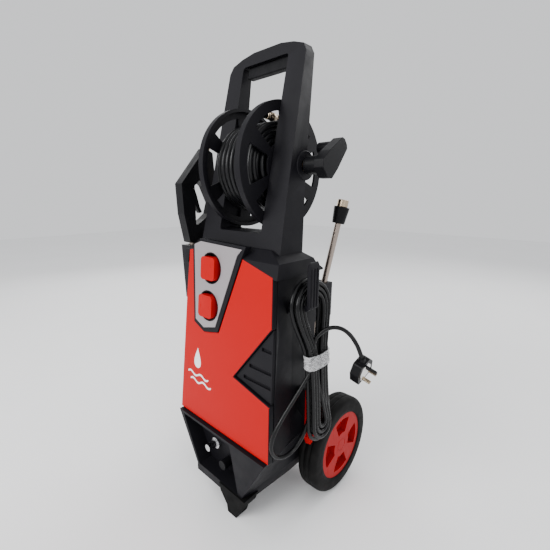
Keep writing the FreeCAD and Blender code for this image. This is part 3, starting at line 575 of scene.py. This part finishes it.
def strain_relief():
    """Ribbed sleeve where the cord leaves the casing."""
    profile = [(0, 9.0), (1.5, 9.6), (4.0, 9.6), (4.6, 7.6), (7.0, 7.4), (7.4, 6.6), (9.8, 6.9),
               (10.2, 6.2), (12.6, 6.5), (13.0, 5.8), (15.4, 6.1), (15.8, 5.4), (18.4, 5.6), (20.0, 4.6)]
    sleeve = lathe("cord_strain_relief", profile, (0.1262, -0.005, 0.330), (1, 0, 0), 40)
    place(sleeve, "chassis", "cord_sheath", replaces=("cord_gland",))


plug_pieces = plug()
strain_relief()


def cord_tie():
    """Clear tape wound round the hank's waist."""
    columns = 96
    rows = 22
    half_depth = 0.0345
    half_width = 0.0135
    lower_edge = 0.3495
    height = 0.028
    points = []
    for row in range(rows):
        share = row / (rows - 1)
        for column in range(columns):
            angle = 2.0 * math.pi * column / columns
            side = abs(math.cos(angle)) ** 0.7 * math.copysign(1.0, math.cos(angle))
            depth = abs(math.sin(angle)) ** 0.7 * math.copysign(1.0, math.sin(angle))
            spot = Vector((math.cos(angle) * 4.0, math.sin(angle) * 4.0, share * 9.0))
            puff = 1.0 + 0.10 * (share - 0.5) ** 2 + 0.045 * noise.noise(spot)
            y = TIE_Y + half_depth * depth * puff
            level = lower_edge + height * share - 0.02 * (y - TIE_Y) + 0.0015 * noise.noise(spot * 0.6)
            points.append((hank_x(level) + half_width * side * puff, y, level))
    faces = []
    for row in range(rows - 1):
        for column in range(columns):
            following = (column + 1) % columns
            faces.append([row * columns + column, row * columns + following,
                          (row + 1) * columns + following, (row + 1) * columns + column])
    tape = mesh_object("cord_tie", points, faces)
    sheet = tape.modifiers.new("thickness", "SOLIDIFY")
    sheet.thickness = 0.0004
    return place(tape, "chassis", "film")


tie = cord_tie()


def hose_end():
    """Crimped nut and nose on the hose's free end."""
    profile = [(0, 6.2), (0.6, 6.8), (6.0, 6.8), (6.6, 6.2), (7.2, 6.8), (12, 6.8), (12.6, 8.3), (20, 8.3),
               (20.6, 6.0), (26, 6.0), (26.5, 5.2), (30, 5.2), (30.5, 5.9), (37.4, 5.9), (38, 5.3)]
    piece = lathe("hose_coupling", profile, HOSE_END, (0, 1, 0), 36)
    return place(piece, "reel", "brass_fitting", replaces=("hose_fitting",))


coupling = hose_end()


# ---------------------------------------------------------------- casings and frame


def casings():
    """Casing, frame and fitting nodes keep their CAD shapes, with rounded edges."""
    widths = {"base_shell": 3.0, "rear_shell": 1.6, "front_cover": 2.6, "louvre_panel": 1.0,
              "fascia_bezel": 1.2, "control_fascia": 1.3, "knob_cups": 0.8, "handle_frame": 5.0,
              "top_cover": 3.2, "handle_grip": 2.4, "front_feet": 3.0, "wheel_guards": 1.0,
              "rear_grille": 1.0, "gun_holster": 3.0, "lance_clip": 3.0, "lance_socket": 3.0,
              "cord_hook": 2.0, "reel_bearings": 2.0, "axle_spacers": 1.0, "outlet_coupling": 1.2}
    for node, width in widths.items():
        skin = dress(node, width)
        if node == "front_cover":
            dark_edges(skin)
        if node == "wheel_guards":
            dark_arms(skin)


def dark_edges(skin):
    """The red cover sits in a black frame, so its sides are black."""
    skin.data.materials.append(LIBRARY["black_plastic"])
    outward = Vector((0.0, -math.cos(FRONT_LEAN), math.sin(FRONT_LEAN)))
    for face in skin.data.polygons:
        if face.normal.dot(outward) < 0.7:
            face.material_index = 1


ARM_EDGE = 0.1455


def dark_arms(skin):
    """Each guard's red blade hangs from a black arm against the body."""
    shape = bmesh.new()
    shape.from_mesh(skin.data)
    for x in (-ARM_EDGE, ARM_EDGE):
        parts = shape.verts[:] + shape.edges[:] + shape.faces[:]
        bmesh.ops.bisect_plane(shape, geom=parts, plane_co=(x, 0, 0), plane_no=(1, 0, 0))
    for face in shape.faces:
        if abs(face.calc_center_median().x) < ARM_EDGE:
            face.material_index = 1
    shape.to_mesh(skin.data)
    shape.free()
    skin.data.materials.append(LIBRARY["black_plastic"])


def reel_parts():
    """Flanges, drum, shaft and crank, each with its own edge radius."""
    for node, width in (("reel_flanges", 1.6), ("reel_drum", 1.0), ("crank_arm", 2.6),
                        ("reel_shaft", 0.8), ("crank_grip_pin", 0.6)):
        dress(node, width)


def controls():
    """Bar knobs with well-rounded corners."""
    for node in ("power_knob", "pressure_knob"):
        dress(node, 1.8, 4)


def spray_gun():
    """Gun shells with well-rounded edges, and the trigger."""
    for node in ("gun_shell_outer", "gun_shell_inner"):
        dress(node, 3.2, 4, 40.0)
    dress("gun_trigger", 1.2)


def wheels():
    """Solid tyres with rounded shoulders and two grooves in the tread, hubs and their caps."""
    for word, sign in (("left", -1), ("right", 1)):
        body = f"{word}_wheel"
        profile = [(0.5, 77), (0, 84), (0, 99), (0.7, 104), (2.4, 107.8), (5.5, 109.6), (9, 110),
                   (14.6, 110), (15.2, 108.2), (16.6, 108.2), (17.2, 110), (28.8, 110), (29.4, 108.2),
                   (30.8, 108.2), (31.4, 110), (34, 110), (38, 109.4), (41.5, 107.6), (43.8, 105.2),
                   (45.2, 102.5), (46, 99), (46, 84), (45.5, 77)]
        tyre = lathe(f"wheel_{word}_tyre_skin", profile, (sign * 0.130, 0.060, 0.110),
                     (sign, 0, 0), 128, ring=True)
        place(tyre, body, "tyre_rubber", replaces=(f"wheel_{word}_tyre",))
        dress(f"wheel_{word}_hub", 1.5)
        dress(f"wheel_{word}_cap", 1.2)


def lance():
    """Rounded edges for the lance's collar and nozzle."""
    dress("lance_collar", 1.2)
    dress("lance_nozzle", 1.2)


def on_front(x, level, out):
    """A point on the leaning front plane, in mm, and how far it stands out."""
    y = FRONT_Y + (level - FRONT_LEVEL) * math.tan(FRONT_LEAN)
    return Vector((x, y - out * math.cos(FRONT_LEAN), level + out * math.sin(FRONT_LEAN))) * MM


def slab(name, outline, low, high):
    """A thin plate with an outline on the front plane, from one height to another."""
    count = len(outline)
    points = [on_front(x, level, out) for out in (low, high) for x, level in outline]
    faces = [list(range(count))[::-1], [count + step for step in range(count)]]
    for step in range(count):
        following = (step + 1) % count
        faces.append([step, following, count + following, count + step])
    return mesh_object(name, points, faces, False)


def hook_ribs():
    """Upright ribs down the outside of the cord hook's lip."""
    x_low, x_high, z_low, z_high = 177.4, 179.6, 476.0, 548.0
    for index, y in enumerate((-84.5, -76.5, -68.5)):
        corners = [(x_low, y), (x_high, y + 0.8), (x_high, y + 3.2), (x_low, y + 4.0)]
        points = [Vector((x, along, z)) * MM for z in (z_low, z_high) for x, along in corners]
        faces = [[3, 2, 1, 0], [4, 5, 6, 7]]
        for step in range(4):
            following = (step + 1) % 4
            faces.append([step, following, 4 + following, 4 + step])
        rib = mesh_object(f"hook_rib_{index}", points, faces)
        bevel(rib, 0.5 * MM, 2)
        place(rib, "chassis", "black_plastic")


def emblem():
    """A plain water drop over two ripples, where a maker would print a mark."""
    drop = []
    for step in range(40):
        angle = 2.0 * math.pi * step / 40
        pull = math.sin(angle / 2.0) ** 1.6
        drop.append((-84.0 + 17.0 * math.sin(angle) * pull, 315.0 + 24.0 * math.cos(angle)))
    shapes = {"mark_drop": drop}
    width = 74.0
    for row, start in enumerate((-118.0, -108.0)):
        top, bottom = [], []
        for step in range(25):
            x = start + width * step / 24
            level = 274.0 - 15.0 * row + 3.4 * math.sin(4.0 * math.pi * step / 24)
            top.append((x, level + 2.2))
            bottom.append((x, level - 2.2))
        shapes[f"mark_ripple_{row}"] = top + bottom[::-1]
    for name, outline in shapes.items():
        place(slab(name, outline, -0.3, 0.25), "chassis", "print")


casings()
reel_parts()
controls()
spray_gun()
wheels()
lance()
hook_ribs()
emblem()


def remaining_nodes():
    """CAD nodes whose own mesh shows get the library's materials."""
    for node, obj in frame["nodes"].items():
        slots = obj.data.materials
        if slots:
            for index in range(len(slots)):
                slots[index] = LIBRARY[SLOT_OF[node]]
        else:
            slots.append(LIBRARY[SLOT_OF[node]])


remaining_nodes()


# ---------------------------------------------------------------- floor and light


def stage():
    """Pale floor, which blends into the world's colour behind it."""
    floor = mesh_object("floor", [(-6, -6, 0), (6, -6, 0), (6, 6, 0), (-6, 6, 0)], [[0, 1, 2, 3]], False)
    shader = Shader("floor_paint", (0.90, 0.90, 0.90), 0.55)
    shader.paint(shader.mix(shader.noise(3.0, 4.0), (0.88, 0.88, 0.885), (0.93, 0.93, 0.93)))
    floor.data.materials.append(shader.material)


def area_light(name, at, target, size, power):
    """Square soft box pointed at a target."""
    data = bpy.data.lights.new(name, "AREA")
    data.shape = "SQUARE"
    data.size = size
    data.energy = power
    obj = bpy.data.objects.new(name, data)
    bpy.context.collection.objects.link(obj)
    obj.location = at
    obj.rotation_euler = (Vector(target) - Vector(at)).to_track_quat("-Z", "Y").to_euler()


def lights():
    """Four soft boxes round the machine and a pale world."""
    middle = (0.0, 0.0, 0.5)
    area_light("key", (-0.5, -2.3, 1.7), middle, 1.4, 70.0)
    area_light("side", (2.4, -0.8, 1.5), middle, 1.0, 13.0)
    area_light("back", (0.4, 2.4, 2.0), middle, 1.6, 34.0)
    area_light("left", (-2.3, 0.8, 1.4), middle, 1.4, 16.0)
    world = bpy.data.worlds.new("world")
    world.use_nodes = True
    world.node_tree.nodes["Background"].inputs["Color"].default_value = (0.95, 0.96, 0.98, 1.0)
    world.node_tree.nodes["Background"].inputs["Strength"].default_value = 1.0
    bpy.context.scene.world = world


stage()
lights()
